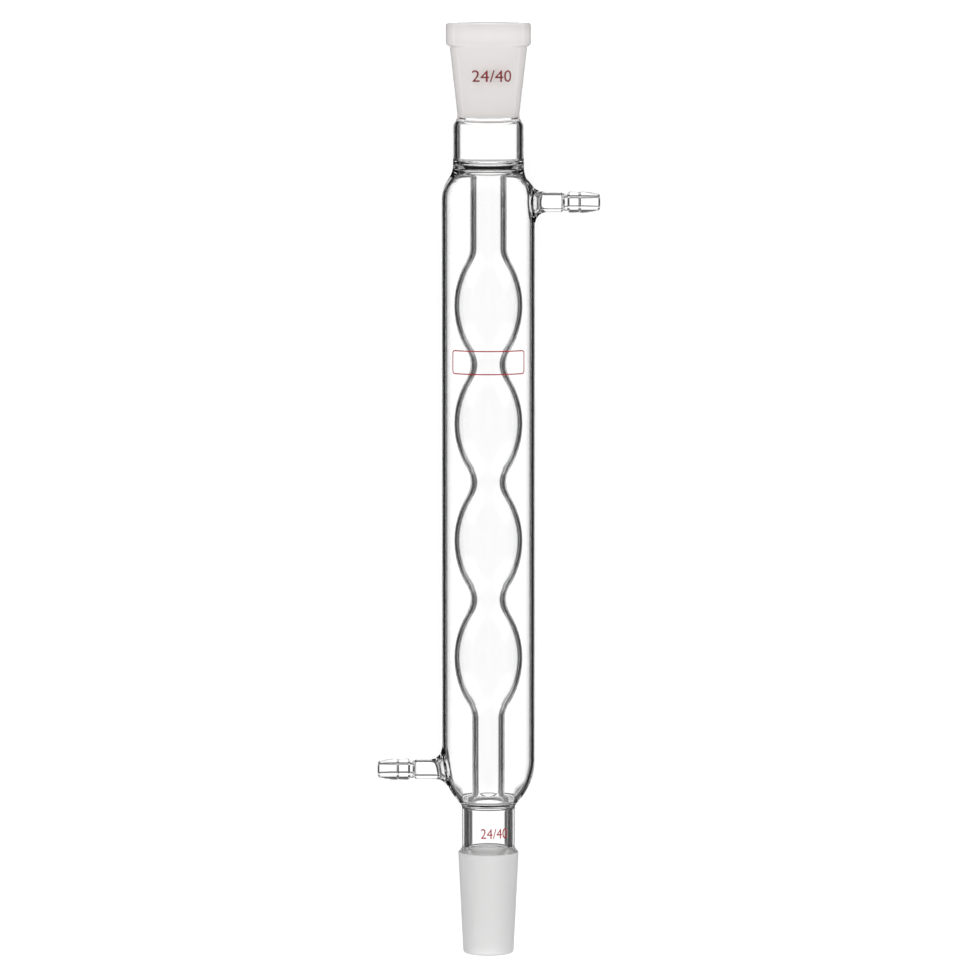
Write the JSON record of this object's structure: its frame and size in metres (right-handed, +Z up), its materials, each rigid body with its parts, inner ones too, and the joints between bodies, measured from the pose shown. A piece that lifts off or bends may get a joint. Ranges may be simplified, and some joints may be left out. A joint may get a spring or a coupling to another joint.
{
  "type": "allihn condenser",
  "caption": "Laboratory reflux condenser of clear glass: a bulbed vapour tube inside a water jacket, with a ground socket, a ground cone and barbed hose arms.",
  "frame": {"origin": "on the bench under the middle of the condenser's box, where the jacket rests on its side", "axes": "+Y along the condenser's axis towards the socket's mouth, +X along the upper hose arm, +Z up from the bench"},
  "size_m": [0.088, 0.3694, 0.037],
  "materials": {
    "clear_glass": "fire-polished, clear",
    "ground_glass": "evenly ground, frosted",
    "red_enamel": "fired-on print"
  },
  "bodies": {
    "root": {"condenser": "clear_glass"}
  },
  "joints": []
}
